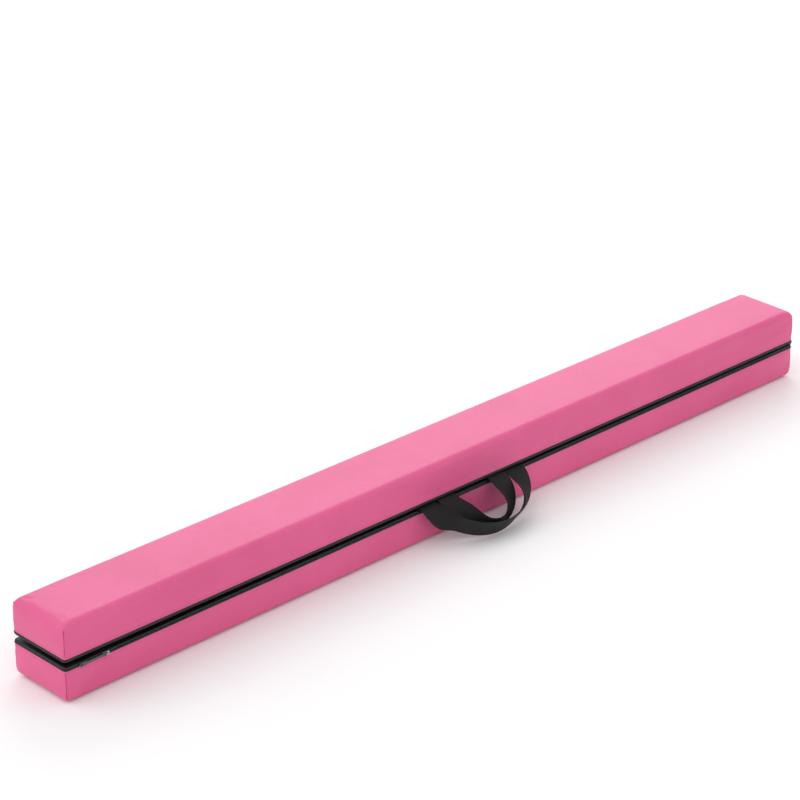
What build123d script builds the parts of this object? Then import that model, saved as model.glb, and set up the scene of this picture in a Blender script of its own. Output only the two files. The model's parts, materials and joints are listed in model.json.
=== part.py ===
from build123d import *
import os
from math import atan2, cos, degrees, hypot, pi, radians, sin

# A folding floor balance beam, stored folded in half. Each half is a foam block in a soft cover with
# a black non-slip base panel, a zip along one long side and a webbing carrying loop. The two base
# panels face each other when the beam is folded, and a webbing hinge joins them at the +X end.
# Origin: centre of the face that the folded beam rests on. +X towards the hinge, +Z up.

os.makedirs("parts", exist_ok=True)

# Driving dimensions, millimetres and degrees
half_length = 1345.0  # one half, 53 in; the unfolded beam is twice this
beam_width = 101.5
half_height = 51.0  # walking face to non-slip face of one half
base_gap = 2.0  # between the facing non-slip faces, at the hinge
rest_tilt = 0.18  # how far the folded halves stand open
hinge_beyond_end = 1.0  # hinge line beyond the end faces

sheet = 1.2  # cover and base panel material
cover_edge = 46.4  # height of the cover's hem above the walking face
binding_height = 1.2
binding_proud = 0.4
top_radius = 9.0  # soft edges of the walking face
base_radius = 2.4  # rolled edge of the base panel
base_corner_radius = 5.0
ease = 0.5  # air left round the foam block
clearance = 0.3  # between pieces that move past each other

seam_start = 8.0  # the corner seams start this far below the walking face
seam_radius = 0.8
seam_inset = 0.5

zip_height = 48.6  # centre line of the zip above the walking face
zip_from, zip_to = -625.0, 615.0
zip_slot = 2.0
coil_size = 0.8
coil_spread = 1.3  # centre to centre of the two coils
coil_depth = 2.4  # behind the face of the side wall
groove_depth = 3.2  # in the foam, each side of the coils
tape_width, tape_thickness = 9.0, 0.4
base_tape_start = 3.4  # from the inner face of the side wall
stop_length = 2.5
stop_wrap = 0.3  # how much thicker a stop is than the coil it grips

slider_x = -611.0  # where the slider is parked, zip closed
slider_length = 10.0
shoulder_width, waist_width = 5.4, 4.2
plate_thickness = 0.9
plate_lift = 0.6
bail_span, bail_width, bail_rod = 4.4, 1.6, 0.6
bail_height = 3.5  # above the side wall
pull_length, pull_width, pull_thickness = 42.0, 5.2, 0.8
pull_bar_height = 2.25  # pull's cross bar above the side wall
pull_window = 3.4
pull_head, pull_waist = 4.6, 3.4

leaf_length, webbing_width, webbing = 32.0, 92.0, 0.6
fold_reach = 4.7  # hinge fold beyond the end face, to the middle of the webbing
fold_wrap = 75.0  # degrees that the webbing follows the rolled edge of the base
fold_small_radius = 1.4

strap_width, strap_thickness = 32.0, 1.1
strap_lift = 1.2  # middle of the strap above the non-slip face
strap_out = 4.85  # swing line of a loop beyond the side wall
tail_length = 30.0
sewn_length = 22.0
tail_gap = 0.9  # between a tail's end and the swing line
handle_x = 8.0  # middle of both loops
hang_angle = 35.0  # below horizontal, at rest
loops = {"lower": (80.0, 65.0), "upper": (47.0, 57.0)}  # half span and reach of each loop
loop_stations = 17

hinge_x = half_length / 2 + hinge_beyond_end
hinge_z = half_height + base_gap / 2
side_wall = beam_width / 2
zip_length = zip_to - zip_from
zip_middle = (zip_from + zip_to) / 2

# Each half has its own frame: origin at the middle of its walking face, X towards the hinge, Z into
# the half. The upper half lies on its back, opened by the small tilt about the hinge line.
lower_frame = Plane.XY
flat_upper = Plane(origin=(0, 0, 2 * hinge_z), x_dir=(1, 0, 0), z_dir=(0, 0, -1))
hinge_line = Location((hinge_x, 0, hinge_z))
upper_frame = Plane(hinge_line * Rotation(0, rest_tilt, 0) * hinge_line.inverse() * flat_upper.location)
halves = {"lower": (lower_frame, -1), "upper": (upper_frame, 1)}  # frame, local side of the handle


def point(frame, x, y, z):
    """A point given in a half's frame."""
    return frame.from_local_coords(Vector(x, y, z))


def across(frame, x):
    """The plane across a half at x, with its X along the half's Y and its Y along the half's Z."""
    return Plane(point(frame, x, 0, 0), x_dir=frame.y_dir, z_dir=frame.x_dir)


def side_face(frame, x, z):
    """The plane on the zipped side wall: its X along the half, its Y along the half's Z, its Z outwards."""
    return Plane(point(frame, x, -side_wall, z), x_dir=frame.x_dir, z_dir=-frame.y_dir)


def smooth_step(t):
    """0 to 1 with level ends."""
    t = min(max(t, 0.0), 1.0)
    return t * t * (3 - 2 * t)


def strap_section(root, along, out, up, half_span, reach, turn):
    """Plane across a loop at an angle of turn round its half ellipse. The strap leaves the beam flat,
    with its width along the beam, and has turned on edge by a third of the way round."""
    centre = root - along * (half_span * cos(turn)) + out * (reach * sin(turn))
    tangent = (along * (half_span * sin(turn)) + out * (reach * cos(turn))).normalized()
    twist = pi / 2 * smooth_step(min(turn, pi - turn) / (pi / 3))
    width_dir = tangent.cross(up) * cos(twist) + up * sin(twist)
    return Plane(centre, x_dir=width_dir, z_dir=tangent)


for half, (frame, handle_side) in halves.items():
    into = Axis(frame.origin, frame.z_dir)

    # Foam block, rounded like the cover that it fills, with a groove that clears the zip
    with BuildPart() as foam_core:
        with BuildSketch(frame.offset(sheet + ease)):
            Rectangle(half_length - 2 * (sheet + ease), beam_width - 2 * (sheet + ease))
        extrude(amount=half_height - 2 * (sheet + ease) - tape_thickness)
        fillet(foam_core.faces().sort_by(into)[0].edges(), radius=top_radius - sheet - ease)
        with BuildSketch(frame.offset(zip_height - shoulder_width / 2)):
            with Locations((zip_middle, -side_wall + coil_depth)):
                Rectangle(zip_length + 2 * stop_length, 2 * groove_depth)
        extrude(amount=half_height, mode=Mode.SUBTRACT)
        with BuildSketch(frame):
            RectangleRounded(half_length - 2 * sheet, beam_width - 2 * sheet, base_corner_radius)
        extrude(amount=half_height, mode=Mode.INTERSECT)
    foam_core.part.label = f"{half}_foam_core"
    export_step(foam_core.part, f"parts/{half}_foam_core.step")

    # Cover: the walking face and the four side walls, open towards the base, grooved at its corners
    with BuildPart() as cover:
        with BuildSketch(frame):
            Rectangle(half_length, beam_width)
        extrude(amount=cover_edge)
        fillet(cover.faces().sort_by(into)[0].edges(), radius=top_radius)
        offset(amount=-sheet, openings=cover.faces().sort_by(into)[-1])
        with BuildSketch(frame.offset(seam_start)):
            with GridLocations(half_length - 2 * seam_inset, beam_width - 2 * seam_inset, 2, 2):
                Circle(seam_radius + 0.05)
        extrude(amount=half_height, mode=Mode.SUBTRACT)
    cover.part.label = f"{half}_cover"
    export_step(cover.part, f"parts/{half}_cover.step")

    # Corner seams: one closed seam down each corner, from the soft top edge to the hem
    with BuildPart() as corner_seams:
        with BuildSketch(frame.offset(seam_start)):
            with GridLocations(half_length - 2 * seam_inset, beam_width - 2 * seam_inset, 2, 2):
                Circle(seam_radius)
        extrude(amount=cover_edge - seam_start)
    corner_seams.part.label = f"{half}_corner_seams"
    export_step(corner_seams.part, f"parts/{half}_corner_seams.step")

    # Binding: the welt sewn into the seam between the cover and the base panel
    with BuildPart() as base_binding:
        with BuildSketch(frame.offset(cover_edge)):
            RectangleRounded(
                half_length + 2 * binding_proud, beam_width + 2 * binding_proud, base_corner_radius
            )
            RectangleRounded(
                half_length - 2 * sheet, beam_width - 2 * sheet, base_corner_radius - sheet,
                mode=Mode.SUBTRACT,
            )
        extrude(amount=binding_height)
    base_binding.part.label = f"{half}_base_binding"
    export_step(base_binding.part, f"parts/{half}_base_binding.step")

    # Non-slip base panel: a shallow tray with rolled edges, and a slot in its rim for the zip
    rim_start = cover_edge + binding_height
    with BuildPart() as base_panel:
        with BuildSketch(frame.offset(rim_start)):
            RectangleRounded(half_length, beam_width, base_corner_radius)
        extrude(amount=half_height - rim_start)
        fillet(base_panel.faces().sort_by(into)[-1].edges(), radius=base_radius)
        offset(amount=-sheet, openings=base_panel.faces().sort_by(into)[0])
        with BuildSketch(frame.offset(rim_start)):
            with Locations((zip_middle, -side_wall)):
                Rectangle(zip_length, 2 * sheet)
        extrude(amount=zip_slot, mode=Mode.SUBTRACT)
    base_panel.part.label = f"{half}_base_panel"
    export_step(base_panel.part, f"parts/{half}_base_panel.step")

    # Zip tapes: one sewn behind the cover's hem, the other flat inside the base panel
    tape_wall = -side_wall + sheet
    with BuildPart() as zip_tapes:
        with BuildSketch(across(frame, zip_from)):
            with Locations((tape_wall, rim_start)):
                Rectangle(tape_thickness, tape_width, align=(Align.MIN, Align.MAX))
            with Locations((tape_wall + base_tape_start, half_height - sheet)):
                Rectangle(tape_width, tape_thickness, align=(Align.MIN, Align.MAX))
        extrude(amount=zip_length)
    zip_tapes.part.label = f"{half}_zip_tapes"
    export_step(zip_tapes.part, f"parts/{half}_zip_tapes.step")

    # Zip coils: the two rows of the chain, seen through the slot
    with BuildPart() as zip_coils:
        with BuildSketch(across(frame, zip_from)):
            with Locations((-side_wall + coil_depth, zip_height)):
                with GridLocations(0, coil_spread, 1, 2):
                    RectangleRounded(coil_size, coil_size, coil_size / 4)
        extrude(amount=zip_length)
    zip_coils.part.label = f"{half}_zip_coils"
    export_step(zip_coils.part, f"parts/{half}_zip_coils.step")

    # Zip stops: a crimped clip on each coil at the closed end, and one clip over both at the other
    clip = coil_size + stop_wrap
    with BuildPart() as zip_stops:
        with BuildSketch(across(frame, zip_from - stop_length)):
            with Locations((-side_wall + coil_depth, zip_height)):
                with GridLocations(0, coil_spread, 1, 2):
                    RectangleRounded(clip, clip - 0.1, coil_size / 4)
        extrude(amount=stop_length)
        with BuildSketch(across(frame, zip_to)):
            with Locations((-side_wall + coil_depth, zip_height)):
                RectangleRounded(clip, coil_spread + clip - 0.1, coil_size / 4)
        extrude(amount=stop_length)
    zip_stops.part.label = f"{half}_zip_stops"
    export_step(zip_stops.part, f"parts/{half}_zip_stops.step")

    # Zip slider: a shield-shaped outer plate, a thin neck that parts the coils, a narrow inner plate,
    # and the arched bail that holds the pull
    slider_plane = side_face(frame, slider_x, zip_height)
    with BuildPart() as zip_slider:
        with BuildSketch(slider_plane.offset(plate_lift)):
            with BuildLine():
                shield = Polyline(
                    (-slider_length / 2, shoulder_width / 2 - 0.8),
                    (-slider_length / 2 + 1.0, shoulder_width / 2),
                    (0, shoulder_width / 2),
                    (slider_length / 2, waist_width / 2),
                    (slider_length / 2, 0),
                )
                mirror(shield, about=Plane.XZ)
                Line(shield @ 0, (-slider_length / 2, -shoulder_width / 2 + 0.8))
            make_face()
        extrude(amount=plate_thickness)
        fillet(
            zip_slider.faces().sort_by(Axis(slider_plane.origin, slider_plane.z_dir))[-1].edges(),
            radius=0.3,
        )
        neck_depth = coil_depth + coil_size
        with BuildSketch(slider_plane.offset(-neck_depth)):
            with Locations((-slider_length / 4, 0)):
                Rectangle(2.4, (coil_spread - coil_size) * 0.8)
        extrude(amount=neck_depth + plate_lift)
        with BuildSketch(slider_plane.offset(-neck_depth - plate_thickness)):
            RectangleRounded(slider_length - 1, coil_spread + coil_size / 2, 0.5)
        extrude(amount=plate_thickness)
        bail_plane = Plane(slider_plane.origin, x_dir=slider_plane.x_dir, z_dir=-slider_plane.y_dir)
        with BuildSketch(bail_plane.offset(-bail_width / 2)):
            with Locations((0, plate_lift)):
                Rectangle(bail_span, bail_height - plate_lift, align=(Align.CENTER, Align.MIN))
                Rectangle(
                    bail_span - 2 * bail_rod, bail_height - plate_lift - bail_rod,
                    align=(Align.CENTER, Align.MIN), mode=Mode.SUBTRACT,
                )
        extrude(amount=bail_width)
    zip_slider.part.label = f"{half}_zip_slider"
    export_step(zip_slider.part, f"parts/{half}_zip_slider.step")

    # Zip pull: a flat tab with a window for the bail, a cross bar under it and a paddle end
    with BuildPart() as zip_pull:
        with BuildSketch(slider_plane.offset(pull_bar_height - pull_thickness / 2)):
            with BuildLine():
                edge = Polyline(
                    (pull_thickness / 2, 0),
                    (pull_thickness / 2, pull_head / 2),
                    (-pull_window - 1.5, pull_head / 2),
                    (-pull_window - 5.0, pull_waist / 2),
                    (-pull_length + 13.0, pull_waist / 2),
                    (-pull_length + 9.0, pull_width / 2),
                    (-pull_length + 2.0, pull_width / 2),
                    (-pull_length, pull_width / 2 - 1.6),
                    (-pull_length, 0),
                )
                mirror(edge, about=Plane.XZ)
            make_face()
            with Locations((-pull_thickness / 2, 0)):
                Rectangle(
                    pull_window, bail_width + 2 * clearance,
                    align=(Align.MAX, Align.CENTER), mode=Mode.SUBTRACT,
                )
            with Locations((-pull_length + 3.5, 0)):
                Circle(1.2, mode=Mode.SUBTRACT)
        extrude(amount=pull_thickness)
    zip_pull.part.label = f"{half}_zip_pull"
    export_step(zip_pull.part, f"parts/{half}_zip_pull.step")

    # Hinge leaf: the webbing sewn flat to the non-slip face beside the fold
    with BuildPart() as hinge_leaf:
        with BuildSketch(frame.offset(half_height)):
            with Locations((half_length / 2 - base_radius - clearance, 0)):
                Rectangle(leaf_length, webbing_width, align=(Align.MAX, Align.CENTER))
        extrude(amount=webbing)
    hinge_leaf.part.label = f"{half}_hinge_leaf"
    export_step(hinge_leaf.part, f"parts/{half}_hinge_leaf.step")

    # Carrying loop: one strap of webbing, flat where it leaves the beam and on edge at the grip
    half_span, reach = loops[half]
    along = frame.x_dir
    up = frame.z_dir * -handle_side
    root = point(frame, handle_x, handle_side * (side_wall + strap_out), half_height + strap_lift)
    outwards = frame.y_dir * handle_side
    out = outwards * cos(radians(hang_angle)) - up * sin(radians(hang_angle))
    lifted = up * cos(radians(hang_angle)) + outwards * sin(radians(hang_angle))
    with BuildPart() as handle:
        for station in range(loop_stations):
            turn = pi * station / (loop_stations - 1)
            with BuildSketch(strap_section(root, along, out, lifted, half_span, reach, turn)):
                Rectangle(strap_width, strap_thickness)
        loft()
    handle.part.label = f"{half}_handle"
    export_step(handle.part, f"parts/{half}_handle.step")

    # Handle tails: the two ends of the strap, doubled where they are sewn to the non-slip face
    with BuildPart() as handle_tails:
        for root_x in (handle_x - half_span, handle_x + half_span):
            with BuildSketch(across(frame, root_x - strap_width / 2)):
                with Locations((handle_side * (side_wall + strap_out - tail_gap), half_height + strap_lift)):
                    Rectangle(
                        tail_length, strap_thickness,
                        align=(Align.MAX if handle_side > 0 else Align.MIN, Align.CENTER),
                    )
                with Locations((handle_side * (side_wall + strap_out - tail_gap - tail_length), half_height)):
                    Rectangle(
                        sewn_length, strap_lift + strap_thickness / 2,
                        align=(Align.MIN if handle_side > 0 else Align.MAX, Align.MIN),
                    )
            extrude(amount=strap_width)
    handle_tails.part.label = f"{half}_handle_tails"
    export_step(handle_tails.part, f"parts/{half}_handle_tails.step")

# Hinge fold: the same webbing carried round between the two rolled edges, bulging past the end faces
rolled_x = half_length / 2 - base_radius
fold_radius = base_radius + clearance + webbing / 2
small_x = rolled_x + fold_radius * sin(radians(fold_wrap)) + fold_small_radius * sin(radians(fold_wrap))
small_z = (
    half_height - base_radius
    + (fold_radius + fold_small_radius) * cos(radians(fold_wrap))
)
run = half_length / 2 + fold_reach - small_x
drop = hinge_z - small_z
big_radius = (run**2 + drop**2 - fold_small_radius**2) / (2 * (run - fold_small_radius))
big_turn = degrees(atan2(drop, small_x - (half_length / 2 + fold_reach - big_radius)))
with BuildPart() as hinge_fold:
    with BuildSketch(Plane.XZ.offset(-webbing_width / 2)):
        with BuildLine():
            wrap = JernArc(
                (rolled_x, half_height - base_radius + fold_radius), (1, 0), fold_radius, -fold_wrap
            )
            bulge = JernArc(wrap @ 1, wrap % 1, fold_small_radius, 90 + fold_wrap - big_turn)
            nose = JernArc(bulge @ 1, bulge % 1, big_radius, 2 * big_turn)
            back = JernArc(nose @ 1, nose % 1, fold_small_radius, 90 + fold_wrap - big_turn)
            JernArc(back @ 1, back % 1, fold_radius, -fold_wrap)
            offset(amount=webbing / 2, side=Side.BOTH)
        make_face()
    extrude(amount=webbing_width)
hinge_fold.part.label = "hinge_fold"
export_step(hinge_fold.part, "parts/hinge_fold.step")
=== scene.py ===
import json
import math

import bmesh
import bpy
import numpy as np
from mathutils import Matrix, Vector

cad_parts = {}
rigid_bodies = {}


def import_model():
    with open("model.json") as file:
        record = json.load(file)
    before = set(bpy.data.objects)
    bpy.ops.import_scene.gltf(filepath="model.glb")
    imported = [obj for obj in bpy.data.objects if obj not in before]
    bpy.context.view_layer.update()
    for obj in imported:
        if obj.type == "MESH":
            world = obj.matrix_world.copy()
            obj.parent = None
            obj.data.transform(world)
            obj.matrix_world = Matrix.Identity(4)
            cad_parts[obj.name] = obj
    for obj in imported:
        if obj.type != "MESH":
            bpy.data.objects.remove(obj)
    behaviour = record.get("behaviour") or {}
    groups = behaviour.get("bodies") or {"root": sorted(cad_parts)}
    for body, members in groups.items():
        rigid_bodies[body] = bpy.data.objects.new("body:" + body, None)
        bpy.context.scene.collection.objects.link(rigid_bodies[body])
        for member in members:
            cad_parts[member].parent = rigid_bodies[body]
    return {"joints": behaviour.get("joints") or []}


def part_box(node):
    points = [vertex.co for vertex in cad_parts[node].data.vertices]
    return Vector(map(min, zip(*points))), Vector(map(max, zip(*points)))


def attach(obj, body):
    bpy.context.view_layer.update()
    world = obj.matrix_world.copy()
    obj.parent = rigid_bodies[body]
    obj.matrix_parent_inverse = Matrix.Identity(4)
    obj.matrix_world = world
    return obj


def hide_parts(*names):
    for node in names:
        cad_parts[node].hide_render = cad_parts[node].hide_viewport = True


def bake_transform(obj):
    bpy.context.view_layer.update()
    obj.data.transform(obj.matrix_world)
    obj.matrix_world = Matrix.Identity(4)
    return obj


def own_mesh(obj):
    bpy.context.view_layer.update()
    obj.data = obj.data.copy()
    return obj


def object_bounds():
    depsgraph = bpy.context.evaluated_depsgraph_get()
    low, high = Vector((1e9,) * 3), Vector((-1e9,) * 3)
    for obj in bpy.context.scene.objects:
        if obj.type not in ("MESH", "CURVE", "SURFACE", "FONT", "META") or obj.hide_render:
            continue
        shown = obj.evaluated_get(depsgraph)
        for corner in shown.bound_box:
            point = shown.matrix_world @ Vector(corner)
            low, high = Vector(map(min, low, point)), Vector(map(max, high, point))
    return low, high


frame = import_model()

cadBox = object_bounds()
mm = 0.001
rng = np.random.default_rng(7)


# places come from the frame

def corners(node):
    # lowest and highest corner of a CAD node, as arrays
    low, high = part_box(node)
    return np.array(low), np.array(high)


def cadNode(name):
    return next(o for o in bpy.data.objects if o.name == name or o.get("node") == name)


joints = {j["name"]: j for j in frame["joints"]}
hinge = np.array(joints["fold_hinge"]["pos_m"])
coverHigh = corners("lower_cover")[1]
baseLow, baseHigh = corners("lower_base_panel")
endX = coverHigh[0]  # end face of a half
sideY = coverHigh[1]  # side wall
hemZ = coverHigh[2]  # cover's hem, above the walking face
rimZ, faceZ = baseLow[2], baseHigh[2]  # rim and non-slip face of the base panel

# each half's own axes: along, across, into the half, and the middle of its walking face
halfAxes = {"lower": np.eye(3)}
along = np.array(joints["upper_zip_slide"]["axis"])
into = np.array(joints["upper_pull_swing"]["axis"])
halfAxes["upper"] = np.array([along, np.cross(into, along), into])
handleSide = {"lower": -1.0, "upper": 1.0}  # local side that the carrying loop is on


def toRow(half, points):
    # a half's own coordinates to the row's: the hinge has the same coordinates in both
    axes = halfAxes[half]
    origin = hinge - np.array([hinge[0], 0, hinge[2]]) @ axes
    return np.asarray(points) @ axes + origin


def turnRow(half, directions):
    return np.asarray(directions) @ halfAxes[half]


def facing(half, direction, path):
    # the same direction for every point of a path, turned to the row's axes
    return turnRow(half, np.broadcast_to(direction, path.shape))


def unit(v):
    return v / np.linalg.norm(v, axis=-1, keepdims=True)


def smoothStep(t):
    t = np.clip(t, 0, 1)
    return t * t * (3 - 2 * t)


# meshes from arrays

def gridFaces(rows, cols, wrapRows=False, wrapCols=False):
    # the four corners of each cell of a grid of points, row by row
    i, j = np.meshgrid(np.arange(rows if wrapRows else rows - 1),
                       np.arange(cols if wrapCols else cols - 1), indexing="ij")
    up, right = (i + 1) % rows, (j + 1) % cols
    return np.stack([i * cols + j, up * cols + j, up * cols + right, i * cols + right], -1).reshape(-1, 4)


def gridUV(us, vs):
    # the same cells' corners in the surface's own lengths, in metres
    u, v = np.meshgrid(us, vs, indexing="ij")
    uv = np.stack([u, v], -1)
    return np.stack([uv[:-1, :-1], uv[1:, :-1], uv[1:, 1:], uv[:-1, 1:]], 2).reshape(-1, 4, 2)


def link(thing):
    bpy.context.scene.collection.objects.link(thing)


def addPiece(name, verts, faces, material, uv=None, outward=False):
    mesh = bpy.data.meshes.new(name)
    mesh.from_pydata(np.asarray(verts).tolist(), [], [list(f) for f in faces])
    if uv is not None:
        mesh.uv_layers.new(name="UVMap").data.foreach_set("uv", np.asarray(uv, np.float32).ravel())
    mesh.polygons.foreach_set("use_smooth", np.full(len(mesh.polygons), True))
    mesh.materials.append(material)
    piece = bpy.data.objects.new(name, mesh)
    link(piece)
    if outward:
        work = bmesh.new()
        work.from_mesh(mesh)
        bmesh.ops.recalc_face_normals(work, faces=work.faces)
        work.to_mesh(mesh)
        work.free()
    mesh.update()
    return piece


def runLengths(points):
    # distance travelled along a row of points
    return np.concatenate([[0], np.cumsum(np.linalg.norm(np.diff(points, axis=0), axis=1))])


def pointsAt(path, runs, at):
    # the points of a path at the distances given
    return np.stack([np.interp(at, runs, path[:, k]) for k in range(3)], -1)


def closed(ring):
    # a ring of points with its first one again at the end
    return np.vstack([ring, ring[:1]])


def bandPiece(name, centres, acrossDirs, faceDirs, section, material):
    # a closed section carried along a path: point = centre + section x * across + section y * face normal
    rows, cols = len(centres), len(section)
    points = (centres[:, None] + section[None, :, :1] * acrossDirs[:, None]
              + section[None, :, 1:] * faceDirs[:, None])
    faces = gridFaces(rows, cols, False, True).tolist()
    faces += [list(range(cols)), list(range((rows - 1) * cols, rows * cols))]
    uv = gridUV(runLengths(centres), runLengths(closed(section))).reshape(-1, 2)
    uv = np.vstack([uv, section, section])
    return addPiece(name, points.reshape(-1, 3), faces, material, uv, outward=True)


def flatSection(width, thickness, across=14):
    # section of webbing: flat faces that close round the two selvedges
    s = np.sin(np.linspace(-1, 1, across) * math.pi / 2)
    edge = thickness / 2 * (1 - np.abs(s) ** 30) ** 0.5
    half = np.stack([s * width / 2, edge], -1)
    return np.vstack([half, (half * [1, -1])[::-1][1:-1]])


def roundSection(a, b, steps):
    turn = np.linspace(0, 2 * math.pi, steps, endpoint=False)
    return np.stack([a * np.cos(turn), b * np.sin(turn)], -1)


def scatter(name, template, faces, centres, xDirs, yDirs, material):
    # one small shape put at many places: template point = x * xDir + y * yDir + z * (xDir cross yDir)
    zDirs = np.cross(xDirs, yDirs)
    points = (centres[:, None] + template[None, :, :1] * xDirs[:, None]
              + template[None, :, 1:2] * yDirs[:, None] + template[None, :, 2:] * zDirs[:, None])
    starts = (np.arange(len(centres)) * len(template))[:, None, None]
    everyFace = []
    for width in (3, 4):
        some = np.array([f for f in faces if len(f) == width])
        if len(some):
            everyFace += (some[None] + starts).reshape(-1, width).tolist()
    return addPiece(name, points.reshape(-1, 3), everyFace, material)


def stitchShape(length, width, height):
    # a thread's visible loop: an ellipse that thins towards both ends, along X and standing along Z
    s = np.array([-1, -0.75, 0, 0.75, 1])
    fat = np.array([0.25, 0.8, 1, 0.8, 0.25])
    turn = np.linspace(0, 2 * math.pi, 6, endpoint=False)
    x = np.repeat(s * length / 2, 6)
    y = (fat[:, None] * np.cos(turn) * width / 2).ravel()
    z = (fat[:, None] * np.sin(turn) * height / 2).ravel() - np.repeat((s ** 2) * height * 0.5, 6)
    return np.stack([x, y, z], -1), gridFaces(5, 6, False, True)


def stitchRow(name, path, normals, pitch, length, thread, material):
    # stitches at an even pitch along a path of points, standing on the surface whose normals are given
    runs = runLengths(path)
    at = np.arange(pitch / 2, runs[-1], pitch)
    centres = pointsAt(path, runs, at)
    ahead = pointsAt(path, runs, at + pitch / 4)
    behind = pointsAt(path, runs, at - pitch / 4)
    up = pointsAt(normals, runs, at)
    xDirs = unit(ahead - behind)
    yDirs = unit(np.cross(up, xDirs))
    shape, faces = stitchShape(length, thread, thread * 0.9)
    return scatter(name, shape, faces, centres, xDirs, yDirs, material)


def joinPieces(pieces, name):
    bpy.ops.object.select_all(action="DESELECT")
    for p in pieces:
        p.select_set(True)
    bpy.context.view_layer.objects.active = pieces[0]
    bpy.ops.object.join()
    pieces[0].name = name
    pieces[0].data.name = name
    return pieces[0]


# rounded rectangles that a half is wrapped in

def gradedShares(length, fine, coarse):
    # shares along a side whose spacing grows from fine at both ends to coarse
    steps = np.cumsum(np.minimum(coarse, fine * 1.35 ** np.arange(600)))
    steps = steps[steps < length / 2 - coarse / 3]
    return np.concatenate([steps, length - steps[::-1]]) / length


def ringPattern(fine, coarse, arcSteps):
    # where each point of a ring sits: on the arc of corner A at an angle, or a share of the way to corner B
    arc = np.linspace(0, math.pi / 2, arcSteps + 1)
    signs = np.array([[1, 1], [-1, 1], [-1, -1], [1, -1]], float)
    lengths = [2 * endX, 2 * sideY, 2 * endX, 2 * sideY]
    parts = []
    for k in range(4):
        shares = gradedShares(lengths[k], fine, coarse)
        start = k * math.pi / 2
        a = np.concatenate([start + arc, np.full(len(shares), start + math.pi / 2)])
        t = np.concatenate([np.zeros(len(arc)), shares])
        parts.append(np.stack([a, t, np.full(len(a), k)], -1))
    table = np.vstack(parts)
    k = table[:, 2].astype(int)
    return table[:, 0], table[:, 1], signs[k], signs[(k + 1) % 4]


def ringPoints(pattern, inset, radius, z):
    # rings of a half: inset from the walls, with that corner radius, at that height; one ring a row
    angle, share, signA, signB = pattern
    inset, radius, z = (np.asarray(v, float)[:, None] for v in (inset, radius, z))
    reach = np.stack([endX - inset - radius, sideY - inset - radius], -1)
    turn = np.stack([np.cos(angle), np.sin(angle)], -1)
    a = reach * signA + radius[..., None] * turn
    b = reach * signB + radius[..., None] * turn
    flat = a + share[:, None] * (b - a)
    return np.concatenate([flat, np.broadcast_to(z[..., None], flat.shape[:2] + (1,))], -1)


def ringNormals(pattern):
    angle = pattern[0]
    return np.stack([np.cos(angle), np.sin(angle), np.zeros(len(angle))], -1)


# materials

def newMaterial(name, colour, roughness, metallic=0.0, specular=0.5, sheen=0.0):
    mat = bpy.data.materials.new(name)
    mat.use_nodes = True
    tree = mat.node_tree
    shader = tree.nodes["Principled BSDF"]
    shader.inputs["Base Color"].default_value = (*colour, 1)
    shader.inputs["Roughness"].default_value = roughness
    shader.inputs["Metallic"].default_value = metallic
    shader.inputs["Specular IOR Level"].default_value = specular
    shader.inputs["Sheen Weight"].default_value = sheen
    return mat, tree, shader


def addNode(tree, kind, **settings):
    node = tree.nodes.new(kind)
    for key, value in settings.items():
        if key in node.inputs:
            node.inputs[key].default_value = value
        else:
            setattr(node, key, value)
    return node


def noise(tree, vector, scale, detail=4, roughness=0.55):
    node = addNode(tree, "ShaderNodeTexNoise", Scale=scale, Detail=detail, Roughness=roughness)
    tree.links.new(vector, node.inputs["Vector"])
    return node.outputs["Fac"]


def ramp(tree, value, stops):
    # a colour ramp from (place, colour) stops
    node = tree.nodes.new("ShaderNodeValToRGB")
    line = node.color_ramp
    while len(line.elements) < len(stops):
        line.elements.new(0.5)
    for element, (place, colour) in zip(line.elements, stops):
        element.position = place
        element.color = (*colour, 1)
    tree.links.new(value, node.inputs["Fac"])
    return node.outputs["Color"]


def maths(tree, operation, a, b=None):
    node = tree.nodes.new("ShaderNodeMath")
    node.operation = operation
    for socket, value in zip(node.inputs, (a, b)):
        if isinstance(value, (int, float)):
            socket.default_value = value
        elif value is not None:
            tree.links.new(value, socket)
    return node.outputs[0]


def mixColours(tree, factor, a, b):
    # a * (1 - factor) + b * factor, for colours or sockets
    node = tree.nodes.new("ShaderNodeMix")
    node.data_type = "RGBA"
    for name, kind, value in (("Factor", "VALUE", factor), ("A", "RGBA", a), ("B", "RGBA", b)):
        socket = next(s for s in node.inputs if s.name == name and s.type == kind)
        if isinstance(value, tuple):
            socket.default_value = (*value, 1)
        else:
            tree.links.new(value, socket)
    return [s for s in node.outputs if s.type == "RGBA"][0]


def bump(tree, shader, heights):
    # bumps laid one on another, each (height, strength, distance)
    last = None
    for height, strength, distance in heights:
        node = addNode(tree, "ShaderNodeBump", Strength=strength, Distance=distance)
        tree.links.new(height, node.inputs["Height"])
        if last is not None:
            tree.links.new(last, node.inputs["Normal"])
        last = node.outputs["Normal"]
    tree.links.new(last, shader.inputs["Normal"])


def uvAxis(tree, scaleU, scaleV):
    # the piece's own lengths as two numbers, each times a scale
    uv = tree.nodes.new("ShaderNodeUVMap")
    uv.uv_map = "UVMap"
    parts = tree.nodes.new("ShaderNodeSeparateXYZ")
    tree.links.new(uv.outputs["UV"], parts.inputs["Vector"])
    return (maths(tree, "MULTIPLY", parts.outputs["X"], scaleU),
            maths(tree, "MULTIPLY", parts.outputs["Y"], scaleV))


def objectPlace(tree):
    return tree.nodes.new("ShaderNodeTexCoord").outputs["Object"]


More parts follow.
